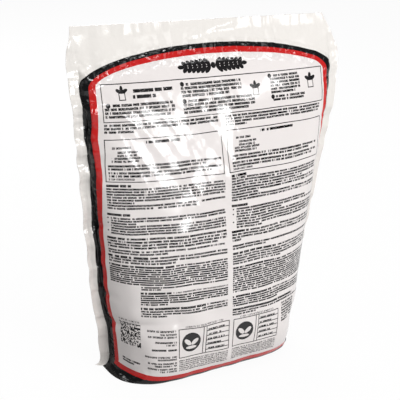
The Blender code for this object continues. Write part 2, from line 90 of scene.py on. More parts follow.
SECTION_POINTS = 129
SECTION_ROWS = 141
LEAST_DEPTH = 1e-5
LEAST_RISE = 0.2
HALVINGS = 40

# Closer fit of the foot to the photograph than in the part's source
EAR_PULL_HEIGHT = 0.0200
HEEL_TUCK = 0.06
HEEL_TUCK_HEIGHT = 0.0110

# Large folds, as in the part's source: start and end as shares of the half width and the length,
# then width and height in millimetres
FOLDS = [
    (-1.00, 0.799, -0.84, 0.806, 6.5, 1.5),
    (-1.00, 0.750, -0.83, 0.744, 6.5, -1.3),
    (-1.00, 0.695, -0.84, 0.684, 7.0, 1.6),
    (-1.00, 0.603, -0.85, 0.592, 7.0, 1.5),
    (-1.00, 0.462, -0.88, 0.470, 7.0, -1.2),
    (-1.00, 0.372, -0.87, 0.366, 7.0, 1.2),
    (-0.98, 0.262, -0.80, 0.270, 6.0, -1.6),
    (-0.96, 0.172, -0.38, 0.209, 8.0, -2.0),
    (-0.76, 0.034, -0.56, 0.070, 6.5, -1.6),
    (1.00, 0.836, 0.86, 0.826, 6.5, -1.6),
    (1.00, 0.730, 0.85, 0.741, 7.0, 1.4),
    (1.00, 0.590, 0.86, 0.582, 7.0, -1.3),
    (1.00, 0.455, 0.86, 0.463, 7.0, 1.3),
    (1.00, 0.300, 0.84, 0.290, 7.0, -1.4),
    (0.90, 0.170, 0.50, 0.130, 8.0, -1.4),
    (-0.89, 0.884, -0.81, 0.826, 5.5, 1.3),
    (-0.90, 0.914, -0.75, 0.872, 5.5, -1.2),
    (-0.93, 0.900, -0.95, 1.000, 6.0, 1.3),
    (-0.83, 0.900, -0.85, 1.000, 6.0, -1.2),
    (-0.74, 0.905, -0.76, 1.000, 6.5, 1.2),
    (-0.45, 0.942, 0.17, 0.990, 8.5, 2.2),
    (0.42, 0.930, 0.52, 0.965, 7.0, 1.6),
    (0.78, 0.890, 0.80, 0.985, 7.0, 1.4),
    (0.06, 0.790, 0.07, 0.540, 12.0, 1.0),
]

# Small sharp creases that the photograph shows, in millimetres of film: start, end, width, height
CREASES = [
    (-159, 373, -146, 346, 2.0, 1.3),
    (-158, 385, -140, 371, 2.0, 1.2),
    (-174, 342, -150, 331, 4.2, 1.5),
    (-173, 327, -151, 322, 3.8, -1.4),
    (-174, 311, -150, 300, 4.4, 1.6),
    (-172, 283, -152, 288, 4.0, 1.4),
    (-174, 262, -149, 250, 4.6, 1.7),
    (-171, 249, -152, 252, 3.4, -1.2),
    (-170, 112, -149, 110, 1.8, -0.9),
    (-171, 76, -145, 74, 2.2, -1.3),
    (-145, 74, -118, 84, 3.0, -1.1),
    (-118, 84, -66, 88, 3.6, -0.8),
    (-152, 60, -144, 74, 2.0, 0.9),
    (-112, 10, -100, 30, 1.5, 0.9),
    (-104, 8, -104, 28, 1.3, -0.7),
    (-98, 10, -110, 26, 1.4, 0.8),
    (-134, 2, -114, 17, 2.6, -1.2),
    (-60, 396, 30, 416, 2.4, 0.7),
    (-80, 400, 10, 419, 2.2, 0.6),
    (80, 393, 90, 404, 1.8, 0.9),
    (12, 345, 11, 230, 3.5, 0.45),
    (-173.5, 262, -172.5, 175, 1.8, -1.2),
    (-170.0, 240, -169.5, 120, 1.8, 1.2),
    (-174.5, 170, -172.0, 85, 2.0, -1.2),
    (-178, 80, -164, 77, 1.8, 1.2),
    (-142, 360, -56, 254, 6.0, 0.55),
    (-84, 368, -16, 284, 6.0, 0.5),
    (-14, 374, 24, 330, 5.0, 0.45),
    (-118, 352, -84, 262, 4.0, -0.35),
    (-50, 340, -8, 240, 4.0, -0.35),
]

# How the creases lie on the film: bluntness of the crests, reach in widths, and loss of height along them
FOLD_BLUNT = 2
CREASE_BLUNT = 1.3
CREASE_SIDE_REACH = 4
CREASE_END_REACH = 3
CREASE_FADE = 0.5

# Seeded creases, ribs and lumps
SHOWN_SEED = 11
FAR_SEED = 29
LUMP_SEED = 5
SEAM_INSET = 0.002
SEAM_GATHERS_FROM = 0.010
SEAM_GATHERS_TO = 0.395
WRINKLES = 70
WRINKLE_TURN = -1.08
WRINKLE_TURN_CHANGE = -2.5
WRINKLE_MIDDLE = -0.04
WRINKLE_BLUNT = 1.25
PLEATS_FROM = -0.168
PLEATS_TO = 0.158
PLEAT_BLUNT = 1.6
ARCH_CRINKLES = 64
ARCH_CRINKLE_BLUNT = 1.2
LUMP_WAVES = 18
LUMP_HEIGHT = 0.00006
SEAM_RIB_PITCH = 0.0046
SEAM_RIB_HEIGHT = 0.00022
FIN_EDGE = 0.003

# Height over the floor from which the film moves freely, and the share of the greatest depth at which
# the two sheets are wholly apart
GROUND_REACH = 0.012
APART_SHARE = 0.25

# Facets of the shown film
COLUMNS = 196
ROWS = 232

# Cloth simulation on a coarse grid of the film
SIM_COLUMNS = 98
SIM_ROWS = 116
SIM_FRAMES = 16
SIM_PRESSURE = 3.0
SIM_HOLD = 0.25
SIM_PIN = 0.4
SIM_FLOOR_REACH = 0.02
SIM_CAP = 0.005

# Print: the border, in metres of flat film
LIGHT_MARGIN = 0.0112
BLACK_STRIPE = 0.0109
RED_STRIPE = 0.0073
FOOT_OVERRUN = 0.0010
FOOT_BLACK_STRIPE = 0.0158
FOOT_RED_STRIPE = 0.0068
ARCH_SPRING = 0.3578
ARCH_RISE = 0.0390
ARCH_RED_GAP = 0.0049
ARCH_PANEL_GAP = 0.0061
SOFT_EDGE = 0.15 * MM

# Sideways drift of the border: how far, the height up to which it is full, and the height where it is gone;
# at the waist the heights are taken from the waist
LOWER_DRIFT = (0.0017, 0.26, 0.34)
WAIST = 0.258
WAIST_DRIFT = (-0.0034, 0.010, 0.045)
FOOT_DRIFT = (-0.0024, 0.06, 0.11)

# Fields of the printed sheet, in millimetres of film: left, bottom, right, top. Each has its own material
FIELDS = {
    "head": (-200, 321, 200, 430),
    "tables": (-200, 253.6, 200, 321),
    "left_text": (-200, 88, 0, 253.6),
    "right_text": (0, 88, 200, 253.6),
    "foot": (-200, -10, 200, 88),
}
FIELD_MARGIN = 4
PLAIN_SLOT = len(FIELDS)
BASE_SLOT = PLAIN_SLOT + 1

# Inks and film, as sRGB
FILM_WHITE = "EAE4E2"
FLAP_WHITE = "ECE8E3"
INK_BLACK = "0F0F11"
INK_RED = "C8201F"
TYPE_INK = "1A181A"

# Small type: half height of the marks and width of a letter as shares of the row pitch, share of gaps,
# strokes across and levels up a letter, and the factor that tells rows apart
TYPE_HALF_HEIGHT = 0.36
LETTER_WIDTH = 0.34
LETTER_GAPS = 0.10
LETTER_STROKES = 3.0
LETTER_LEVELS = 9.0
ROW_SPREAD = 9713.0
PLAIN_WEIGHT = 0.90
BOLD_WEIGHT = 0.97

# Printed figures, in millimetres of film
RULE = 1.0
HEAD_BOX = (-143, 321.8, 145, 361.6)
TABLE_BOXES = ((-143, 254.6, -4, 302.4), (3, 254.6, 143, 302.4))
SEAL_BOXES = ((-66, 0), (6, 71))
SEAL_BOX_BOTTOM = 44.6
SEAL_BOX_TOP = 79.6
SEAL_BOX_STRIP = (31, 35)
SEAL_ROW = 6.2
SEALS = ((-50.5, 62.4), (21.5, 62.4))
SEAL_RADIUS = 12.0
SQUARE_BLOCK = (-139.5, 55.5, -111.0, 84.0)
SQUARE_SIZE = 1.25
SQUARE_SHARE = 0.56
LAUREL_MIDDLE = (-4.0, 373.6)
LAUREL_LENGTH = 38
LAUREL_PAIRS = 6
LAUREL_STEP = 5.9
LAUREL_SPREAD = 44
POTS = ((-120, 352.5, 1.0), (46, 346.5, 1.05), (126, 348.5, 1.15))
POT_HALF_WIDTH = 3.4
POT_BOTTOM = 7.6
POT_RIM = 0.4
NOTE_MARKS = ((-137, 339.4), (-47.5, 356.4), (-47.5, 338.6), (67.5, 357.2), (69, 334.2))
HINT_HEIGHTS = (212.4, 206.4, 197.2)

# Rows of type that end at the left seal box: where each starts, its top and its weight
FOOT_ROWS = (
    (-103, 80, 0.7),
    (-88, 76.4, 0.75),
    (-102, 73.2, 0.8),
    (-94, 66.8, 0.85),
    (-84, 63.6, 0.8),
    (-98, 57.4, 0.95),
    (-107, 48.6, 0.75),
    (-92, 45.4, 0.75),
    (-104, 40.6, 0.8),
    (-96, 37.4, 0.8),
    (-105, 33.4, 0.8),
    (-90, 30.2, 0.8),
)

# Gloss and fine relief of the film. The crinkles are facets of about 10 mm along the border, and of about
# 23 mm at the foot. The stretch lines are 4 mm apart: the real ones are finer and wouldn't show
FILM_ROUGHNESS = 0.17
FILM_IOR = 1.5
CRINKLE_SCALE = 95.0
FOOT_CRINKLE_SHARE = 0.45
FOOT_CRINKLE_TOP = 0.020
CRINKLE_DEPTH = 0.007
CRINKLE_HEIGHT = 0.0017
CRINKLE_FULL = 0.005
CRINKLE_GONE = 0.012
CRINKLE_LEFT = 0.04
WARP_SCALE = 55.0
WARP_U = 0.016
WARP_V = -0.012
STRETCH_SCALE = 260.0
STRETCH_HEIGHT = 0.00012
STRETCH_STRENGTH = 0.35
SMOOTH_ANGLE = 50

# Sockets of a Mix node that mixes colours
MIX_FIRST = 6
MIX_SECOND = 7
MIX_RESULT = 2

# Camera, as fitted to the photograph; azimuth 0 is -Y and 90 is +X, in degrees
CAMERA_AZIMUTH = -31.51
CAMERA_ELEVATION = 21.21
CAMERA_ROLL = 3.90
CAMERA_DISTANCE = 1.2526
CAMERA_AIM = Vector((-0.0036, 0.0080, 0.1943))
CAMERA_LENS = 95.75

# Lamps: name, azimuth, elevation, distance, width, height and power, aimed at the middle of the pack
LAMPS = (
    ("key", 14, 10, 1.6, 0.54, 0.37, 11.8),
    ("strip", 36, 28, 1.6, 0.46, 0.13, 3.2),
    ("broad", 4, 66, 1.7, 1.1, 0.8, 6.5),
    ("left_card", -100, 40, 1.6, 0.8, 0.32, 4.5),
    ("back_fill", 168, 30, 1.8, 1.2, 0.8, 15),
)
LAMP_AIM = Vector((0, 0, 0.2))

# Strength of the white surroundings as light and as mirrored in the film
WORLD_LIGHT = 0.37
WORLD_MIRRORED = 0.11

# Floor: its own grey, its glow, the share of it that the camera sees, and the share that the film mirrors,
# which grows in front of the pack along a slanting line
FLOOR_SIZE = 6
FLOOR_GREY = (0.35, 0.35, 0.35, 1)
FLOOR_GLOW = 1.1
FLOOR_SEEN = 0.86
FLOOR_MIRRORED = 0.8
FRONT_SLANT = 0.6
FRONT_OFFSET = 0.10
FRONT_FROM = 0.02
FRONT_TO = 0.20


def fade(v, reach):
    """A value of 1 at the floor that dies away over reach."""
    return np.exp(-(v / reach) ** 2)


def half_depth(v):
    """Half depth of the filled form at film station v: heel, belly, then a taper to the flap."""
    heel = np.clip(1 - v / BELLY_STATION, 0, 1) ** HEEL_POWER
    rise = BELLY_HALF_DEPTH - (BELLY_HALF_DEPTH - FLOOR_HALF_DEPTH) * heel
    run = np.clip((v - BELLY_STATION) / (FLAP_STATION - BELLY_STATION), 0, 1)
    return rise * (1 - run ** TAPER_POWER)


def build_sections():
    """Lens-shaped sections whose arc length is the film's width between the fins."""
    v = np.linspace(0, FILM_LENGTH, SECTION_ROWS)
    depth = np.maximum(half_depth(v), LEAST_DEPTH)
    stations = [FOOT_STATION, MIDDLE_STATION, TOP_STATION]
    square = np.interp(v, stations, SQUARENESS)
    flank = np.interp(v, stations, FLANK_POWER)
    film = HALF_WIDTH - FIN_WIDTH
    arc_wanted = film - EAR_GATHER * fade(v, EAR_HEIGHT)
    angle = np.linspace(math.pi / 2, 0, SECTION_POINTS)[None, :]
    cosine = np.clip(np.cos(angle), 0, 1)
    sine = np.clip(np.sin(angle), 0, 1)
    across = cosine ** (2 / square)[:, None]
    deep = depth[:, None] * sine ** (2 / flank)[:, None]
    low = np.zeros(SECTION_ROWS)
    high = arc_wanted.copy()
    for _ in range(HALVINGS):
        middle = (low + high) / 2
        arc = np.hypot(np.diff(middle[:, None] * across, axis=1), np.diff(deep, axis=1)).sum(1)
        too_long = arc > arc_wanted
        high = np.where(too_long, middle, high)
        low = np.where(too_long, low, middle)
    half = (low + high) / 2
    step = np.diff(v)
    rise = np.sqrt(np.maximum(step ** 2 - np.diff(depth) ** 2, (LEAST_RISE * step) ** 2))
    height = np.concatenate([[0], np.cumsum(rise)])
    far_square = np.interp(v, stations[:2], [FAR_SQUARENESS_FLOOR, SQUARENESS[1]])
    far_flank = np.interp(v, stations[:2], [FAR_FLANK_POWER_FLOOR, FLANK_POWER[1]])
    far_square = np.where(v > MIDDLE_STATION, square, far_square)
    far_flank = np.where(v > MIDDLE_STATION, flank, far_flank)
    sides = {}
    for side, squareness, flank_power in ((-1, square, flank), (1, far_square, far_flank)):
        x = half[:, None] * cosine ** (2 / squareness)[:, None]
        y = depth[:, None] * sine ** (2 / flank_power)[:, None]
        steps = np.hypot(np.diff(x, axis=1), np.diff(y, axis=1))
        arc = np.concatenate([np.zeros((SECTION_ROWS, 1)), np.cumsum(steps, 1)], 1)
        sides[side] = {"arc": arc * film / arc[:, -1:], "x": x, "y": y}
    return {"v": v, "film": film, "z": height, "sides": sides}


def section_points(sections, side, row, reach):
    """Half widths and half depths where the film has run reach metres from the middle of a section."""
    inside = np.minimum(reach, sections["film"])
    table = sections["sides"][side]
    x = np.interp(inside, table["arc"][row], table["x"][row]) + reach - inside
    y = np.interp(inside, table["arc"][row], table["y"][row])
    return x, y


def lay_on_form(sections, u, v, side):
    """Places of the flat film's points on the filled form, and how full the form is under each."""
    place = np.clip(v / FILM_LENGTH, 0, 1) * (SECTION_ROWS - 1)
    rows = np.minimum(place.astype(int), SECTION_ROWS - 2)
    part = place - rows
    reach = np.abs(u)
    x = np.zeros_like(u)
    y = np.zeros_like(u)
    for row in np.unique(rows):
        here = rows == row
        x0, y0 = section_points(sections, side, row, reach[here])
        x1, y1 = section_points(sections, side, row + 1, reach[here])
        x[here] = x0 * (1 - part[here]) + x1 * part[here]
        y[here] = y0 * (1 - part[here]) + y1 * part[here]
    z = np.interp(v, sections["v"], sections["z"])
    filled = y / BELLY_HALF_DEPTH
    to_seam = np.clip(1 - (HALF_WIDTH - reach) / GATHER_REACH, 0, 1)
    to_corner = np.clip((reach / HALF_WIDTH - EAR_START) / (1 - EAR_START), 0, 1) ** 2
    up_flap = np.clip((v - FLAP_LEAN_STATION) / (FILM_LENGTH - FLAP_LEAN_STATION), 0, 1)
    lean = FLAP_LEAN * up_flap ** FLAP_LEAN_POWER
    at_foot = fade(v, HEEL_SKEW_HEIGHT)
    above_floor = 1 - at_foot
    # gathers beside the seams: waves of uneven pitch, out of step on the two sides
    turn = 2 * math.pi * v / GATHER_PITCH + 1.3 * np.sin(v / GATHER_PITCH * 1.7) + np.where(u < 0, 0, 2.1)
    ruffle = GATHER_HEIGHT * to_seam ** 2 * above_floor * np.sin(turn)
    x += 0.6 * GATHER_HEIGHT * to_seam * (1 - 0.5 * to_seam) * above_floor * np.sin(turn + 1.1)
    # soft dents: crossing waves, out of step on the two sheets
    lump = np.sin(2 * math.pi * u / DENT_PITCH + 0.8 + 2.1 * side)
    lump *= np.sin(2 * math.pi * v / (1.3 * DENT_PITCH) + 1.7 - side)
    lump += 0.5 * np.sin(2 * math.pi * (u + 0.7 * v) / (0.6 * DENT_PITCH) + side)
    y += DENT_HEIGHT * lump * np.minimum(1, 1.5 * filled) * above_floor
    y *= 1 - HEEL_SKEW * np.where(u > 0, x, -x) / HALF_WIDTH * at_foot
    y *= 1 - HEEL_TUCK * fade(v, HEEL_TUCK_HEIGHT) * (1 - (reach / HALF_WIDTH) ** 4)
    corner = to_corner * fade(v, EAR_HEIGHT)
    x -= EAR_PULL * to_corner * fade(v, EAR_PULL_HEIGHT)
    y_middle = lean + ruffle + EAR_SWEEP * corner
    places = np.stack([np.copysign(x, u), side * (y + FILM_PAIR / 2) + y_middle, z + EAR_LIFT * corner], 1)
    return places, filled


def film_point(column, row):
    """Film coordinates of grid points given as shares of the width and the length."""
    v = row * FILM_LENGTH
    slant = np.clip(1 - (FILM_LENGTH - v) / CORNER_SLANT_LENGTH, 0, 1)
    corner = np.where(column < 0.5, CORNER_SLANT_LEFT, CORNER_SLANT_RIGHT)
    return (2 * column - 1) * (HALF_WIDTH - slant * corner), v


def coarse_faces(across, up):
    """Faces of two sheets of grid points, the second one turned round, and of the wall between their rims."""
    count = across * up
    faces = []
    for start, order in ((0, 1), (count, -1)):
        for row in range(up - 1):
            for column in range(across - 1):
                first = start + row * across + column
                faces.append([first, first + 1, first + across + 1, first + across][::order])
    foot = list(range(across))
    right = [row * across + across - 1 for row in range(1, up)]
    head = [(up - 1) * across + column for column in range(across - 2, -1, -1)]
    left = [row * across for row in range(up - 2, 0, -1)]
    rim = foot + right + head + left
    for first, second in zip(rim, rim[1:] + rim[:1]):
        faces.append([second, first, first + count, second + count])
    return faces


def add_cloth(film, cut):
    """Cloth that keeps the size it was cut to, is pressed out from inside and is held softly to the form."""
    cloth = film.modifiers.new("cloth", "CLOTH")
    settings = cloth.settings
    settings.quality = 6
    settings.mass = 0.12
    settings.tension_stiffness = 40
    settings.compression_stiffness = 40
    settings.shear_stiffness = 20
    settings.bending_stiffness = 0.02
    settings.use_pressure = True
    settings.uniform_pressure_force = SIM_PRESSURE
    settings.vertex_group_pressure = "pressed"
    settings.vertex_group_mass = "held"
    settings.pin_stiffness = SIM_PIN
    settings.rest_shape_key = cut
    settings.effector_weights.gravity = 0
    cloth.point_cache.frame_start = 1
    cloth.point_cache.frame_end = SIM_FRAMES


def blow_up(sections):
    """Cloth simulation of the two sheets, cut flat, sealed at the rim and pressed out by the filling.

    Gives each sheet's drift from the form on the coarse grid: rows, columns, axes."""
    across, up = SIM_COLUMNS + 1, SIM_ROWS + 1
    column, row = np.meshgrid(np.linspace(0, 1, across), np.linspace(0, 1, up))
    u, v = film_point(column.ravel(), row.ravel())
    laid, flat, full = [], [], []
    for side in (-1, 1):
        places, filled = lay_on_form(sections, u, v, side)
        laid.append(places)
        flat.append(np.stack([u, np.full_like(u, side * FILM_PAIR / 2), v], 1))
        full.append(filled)
    laid, flat, full = np.concatenate(laid), np.concatenate(flat), np.concatenate(full)
    mesh = bpy.data.meshes.new("film_simulation")
    mesh.from_pydata([tuple(place) for place in laid], [], coarse_faces(across, up))
    film = bpy.data.objects.new("film_simulation", mesh)
    bpy.context.scene.collection.objects.link(film)
    film.shape_key_add(name="laid")
    cut = film.shape_key_add(name="cut_flat")
    cut.data.foreach_set("co", flat.astype(np.float32).ravel())
    held = film.vertex_groups.new(name="held")
    pressed = film.vertex_groups.new(name="pressed")
    for index, fullness in enumerate(full):
        at_floor = np.clip(1 - flat[index, 2] / SIM_FLOOR_REACH, 0, 1)
        held.add([index], float(SIM_HOLD + (1 - SIM_HOLD) * at_floor), "REPLACE")
        pressed.add([index], float(np.clip(fullness / APART_SHARE, 0, 1)), "REPLACE")
    add_cloth(film, cut)
    for frame_number in range(1, SIM_FRAMES + 1):
        bpy.context.scene.frame_set(frame_number)
    evaluated = film.evaluated_get(bpy.context.evaluated_depsgraph_get())
    settled = np.array([vertex.co for vertex in evaluated.data.vertices])
    bpy.data.objects.remove(film)
    bpy.context.scene.frame_set(1)
    drift = settled - laid
    length = np.linalg.norm(drift, axis=1)
    drift *= np.minimum(1, SIM_CAP / np.maximum(length, 1e-9))[:, None]
    drift = drift.reshape(2, up, across, 3)
    return {-1: drift[0], 1: drift[1]}


def drift_at(drift, column, row):
    """The drift of the coarse grid, read between its points."""
    across, up = column * SIM_COLUMNS, row * SIM_ROWS
    left = np.minimum(across.astype(int), SIM_COLUMNS - 1)
    below = np.minimum(up.astype(int), SIM_ROWS - 1)
    part_across, part_up = (across - left)[:, None], (up - below)[:, None]
    low = drift[below, left] * (1 - part_across) + drift[below, left + 1] * part_across
    high = drift[below + 1, left] * (1 - part_across) + drift[below + 1, left + 1] * part_across
    return low * (1 - part_up) + high * part_up


def lifted(v):
    """0 at the floor, where the film lies flat, and 1 from a little above it."""
    return np.clip(v / GROUND_REACH, 0, 1)


def lay_sheet(sections, drifts, name, side):
    """One sheet of film, made flat as a grid of faces and then laid on the form."""
    bpy.ops.mesh.primitive_grid_add(x_subdivisions=COLUMNS, y_subdivisions=ROWS, size=2)
    sheet = bpy.context.active_object
    sheet.name = name
    flat = np.array([vertex.co for vertex in sheet.data.vertices])
    column, row = (flat[:, 0] + 1) / 2, (flat[:, 1] + 1) / 2
    u, v = film_point(column, row)
    places, filled = lay_on_form(sections, u, v, side)
    if drifts:
        places = places + drift_at(drifts[side], column, row) * lifted(v)[:, None]
    places = crease(sheet, places, filled, u, v, side)
    sheet.data.vertices.foreach_set("co", places.astype(np.float32).ravel())
    film_map = sheet.data.uv_layers[0]
    film_map.name = "film"
    corners = np.array([loop.vertex_index for loop in sheet.data.loops])
    film_map.uv.foreach_set("vector", np.stack([u, v], 1)[corners].astype(np.float32).ravel())
    middle_u = u[corners].reshape(-1, 4).mean(1) / MM
    middle_v = v[corners].reshape(-1, 4).mean(1) / MM
    slots = np.full(len(middle_u), PLAIN_SLOT, dtype=np.int32)
    if side < 0:
        for slot, (left, bottom, right, top) in enumerate(FIELDS.values()):
            slots[(middle_u > left) & (middle_u < right) & (middle_v > bottom) & (middle_v < top)] = slot
    sheet.data.polygons.foreach_set("material_index", slots)
    return sheet


def line_rise(u, v, lines):
    """How far creases lift the film: each a line with its width, its height and how blunt its crest is."""
    rise = np.zeros_like(u)
    for start_u, start_v, end_u, end_v, width, height, blunt in lines:
        run_u, run_v = end_u - start_u, end_v - start_v
        length = math.hypot(run_u, run_v)
        along = ((u - start_u) * run_u + (v - start_v) * run_v) / length ** 2
        across = ((u - start_u) * run_v - (v - start_v) * run_u) / length
        beyond = np.maximum(np.maximum(-along, along - 1), 0) * length
        near = (np.abs(across) < CREASE_SIDE_REACH * width) & (beyond < CREASE_END_REACH * width)
        share = 1 - CREASE_FADE * np.clip(along[near], 0, 1)
        crest = np.exp(-np.abs(across[near] / width) ** blunt - (beyond[near] / width) ** 2)
        rise[near] += height * share * crest
    return rise


def crease_ends(u, v, turn, length):
    """Both ends of a crease, from its start, its direction and its length."""
    return u, v, u + length * math.cos(turn), v + length * math.sin(turn)


def either_way(chance, least, most):
    """A random height from a range in millimetres, up or down."""
    return chance.choice((-1, 1)) * chance.uniform(least, most) * MM


def seam_gathers(chance):
    """Short creases that run in from both side seams and turn down towards the flap."""
    lines = []
    for sign in (-1, 1):
        v = SEAM_GATHERS_FROM
        while v < SEAM_GATHERS_TO:
            v += chance.uniform(0.0045, 0.0140)
            length = 0.010 + 0.036 * chance.random() ** 1.6
            tilt = chance.uniform(-0.38, 0.38) - 4.5 * max(0, v / FILM_LENGTH - 0.8) * chance.random()
            height = either_way(chance, 0.25, 0.85) * (length / 0.03) ** 0.5
            start_u = sign * (HALF_WIDTH - SEAM_INSET)
            end_u = sign * (HALF_WIDTH - length * math.cos(tilt))
            end_v = v + length * math.sin(tilt)
            width = chance.uniform(1.3, 3.2) * MM
            blunt = chance.uniform(1.2, 1.8)
            lines.append((start_u, v, end_u, end_v, width, height, blunt))
    return lines


def panel_wrinkles(chance):
    """Long slanting wrinkles in the upper part of a panel."""
    lines = []
    for _ in range(WRINKLES):
        u, v = chance.uniform(-0.140, 0.020), chance.uniform(0.255, 0.368)
        turn = WRINKLE_TURN + WRINKLE_TURN_CHANGE * (u - WRINKLE_MIDDLE) + chance.uniform(-0.22, 0.22)
        length = chance.uniform(0.020, 0.085)
        width = chance.uniform(2.2, 4.8) * MM
        height = either_way(chance, 0.2, 0.6)
        lines.append((*crease_ends(u, v, turn, length), width, height, WRINKLE_BLUNT))
    return lines


def flap_pleats(chance):
    """Pleats that run down from the top seal."""
    lines = []
    u = PLEATS_FROM
    while u < PLEATS_TO:
        u += chance.uniform(0.005, 0.019)
        foot = FILM_LENGTH - chance.uniform(0.012, 0.042)
        height = either_way(chance, 0.20, 0.90)
        head_u = u + chance.uniform(-0.004, 0.004)
        width = chance.uniform(1.4, 4.0) * MM
        lines.append((head_u, FILM_LENGTH, u, foot, width, height, PLEAT_BLUNT))
    return lines


def arch_crinkles(chance):
    """Short crinkles along the arched head of the border."""
    lines = []
    for _ in range(ARCH_CRINKLES):
        u = chance.uniform(-0.165, 0.150)
        arch = ARCH_SPRING + ARCH_RISE * math.sqrt(1 - (u / HALF_WIDTH) ** 2)
        v = arch + chance.uniform(-0.016, 0.006)
        turn = chance.uniform(-1.0, 1.3) - 0.5 * u / HALF_WIDTH
        length = chance.uniform(0.006, 0.022)
        height = either_way(chance, 0.4, 1.0)
        width = chance.uniform(1.8, 3.0) * MM
        lines.append((*crease_ends(u, v, turn, length), width, height, ARCH_CRINKLE_BLUNT))
    return lines


def random_creases(seed):
    """All seeded creases of one sheet: lines with their width, height and bluntness."""
    chance = random.Random(seed)
    return seam_gathers(chance) + panel_wrinkles(chance) + flap_pleats(chance) + arch_crinkles(chance)


def soft_lumps(u, v, seed):
    """Low lumps where the filling presses against the film."""
    chance = random.Random(seed)
    rise = np.zeros_like(u)
    for _ in range(LUMP_WAVES):
        pitch = chance.uniform(0.014, 0.045)
        turn = chance.uniform(0, math.pi)
        phase = chance.uniform(0, 2 * math.pi)
        along = u * math.cos(turn) + v * math.sin(turn)
        rise += LUMP_HEIGHT * np.sin(2 * math.pi * along / pitch + phase)
    return rise


def seam_ribs(u, v):
    """Fine wandering ribs pressed into the side fins."""
    wander = 0.0016 * np.sin(v / 0.021) + 0.0009 * np.sin(v / 0.0083)
    rib = np.sin(2 * math.pi * (np.abs(u) + wander) / SEAM_RIB_PITCH)
    fin = np.clip((np.abs(u) - (HALF_WIDTH - FIN_WIDTH)) / FIN_EDGE, 0, 1)
    return SEAM_RIB_HEIGHT * rib * fin


def crease(sheet, places, filled, u, v, side):
    """Move the film along its normals.

    On the full panels each sheet has creases of its own; fins and flap are two sheets that move as one."""
    sheet.data.vertices.foreach_set("co", places.astype(np.float32).ravel())
    sheet.data.update()
    normals = np.array([normal.vector for normal in sheet.data.vertex_normals])
    lines = []
    for start_u, start_v, end_u, end_v, width, height in FOLDS:
        ends = (start_u * HALF_WIDTH, start_v * FILM_LENGTH, end_u * HALF_WIDTH, end_v * FILM_LENGTH)
        lines.append((*ends, width * MM, height * MM, FOLD_BLUNT))
    for line in CREASES:
        lines.append((*(value * MM for value in line), CREASE_BLUNT))
    shown = line_rise(u, v, lines + random_creases(SHOWN_SEED)) + seam_ribs(u, v)
    own = shown if side < 0 else line_rise(u, v, random_creases(FAR_SEED))
    own = own + soft_lumps(u, v, LUMP_SEED - side) * np.clip(2 * filled, 0, 1)
    alone = np.clip(filled / APART_SHARE, 0, 1)
    move = shown * (1 - alone) - side * own * alone
    return places + normals * (move * lifted(v))[:, None]


def close_pack(printed, far):
    """Join the two sheets along their seams and close the base."""
    count = len(printed.data.vertices)
    bpy.ops.object.select_all(action="DESELECT")
    printed.select_set(True)
    far.select_set(True)
    bpy.context.view_layer.objects.active = printed
    bpy.ops.object.join()
    pack = bpy.context.active_object
    mesh = bmesh.new()
    mesh.from_mesh(pack.data)
    mesh.verts.ensure_lookup_table()
    film_map = mesh.loops.layers.uv["film"]
    rim = [edge for edge in mesh.edges if edge.is_boundary and max(v.index for v in edge.verts) < count]
    for edge in rim:
        loop = edge.link_loops[0]
        first, second = loop.vert, loop.link_loop_next.vert
        places = {end.vert.index: end[film_map].uv.copy() for end in (loop, loop.link_loop_next)}
        opposite = [mesh.verts[vertex.index + count] for vertex in (first, second)]
        wall = mesh.faces.new([second, first, *opposite])
        at_base = max(place.y for place in places.values()) < FILM_LENGTH / ROWS / 2
        wall.material_index = BASE_SLOT if at_base else PLAIN_SLOT
        for corner in wall.loops:
            corner[film_map].uv = places[corner.vert.index % count]
    mesh.normal_update()
    bmesh.ops.recalc_face_normals(mesh, faces=mesh.faces[:])
    mesh.to_mesh(pack.data)
    mesh.free()
    return pack


def linear(hex_text):
    """Turn a written sRGB colour into linear values."""
    channels = [int(hex_text[i:i + 2], 16) / 255 for i in (0, 2, 4)]
    return [c / 12.92 if c <= 0.04045 else ((c + 0.055) / 1.055) ** 2.4 for c in channels] + [1.0]


def node(tree, kind, inputs=(), **settings):
    """Add a shader node: settings by name, and inputs in order or by name, as values, nodes or sockets."""
    made = tree.nodes.new("ShaderNode" + kind)
    for name, value in settings.items():
        setattr(made, name, value)
    pairs = inputs.items() if isinstance(inputs, dict) else enumerate(inputs)
    for key, value in pairs:
        if isinstance(value, bpy.types.Node):
            tree.links.new(value.outputs[0], made.inputs[key])
        elif isinstance(value, bpy.types.NodeSocket):
            tree.links.new(value, made.inputs[key])
        elif value is not None:
            made.inputs[key].default_value = value
    return made


def border_sizes():
    """Half width, foot and rise of the black, red and panel outlines."""
    black = HALF_WIDTH - LIGHT_MARGIN
    red = black - BLACK_STRIPE
    panel = red - RED_STRIPE
    red_rise = ARCH_RISE - ARCH_RED_GAP
    return [
        (black, -FOOT_OVERRUN, ARCH_RISE),
        (red, FOOT_BLACK_STRIPE, red_rise),
        (panel, FOOT_BLACK_STRIPE + FOOT_RED_STRIPE, red_rise - ARCH_PANEL_GAP),
    ]


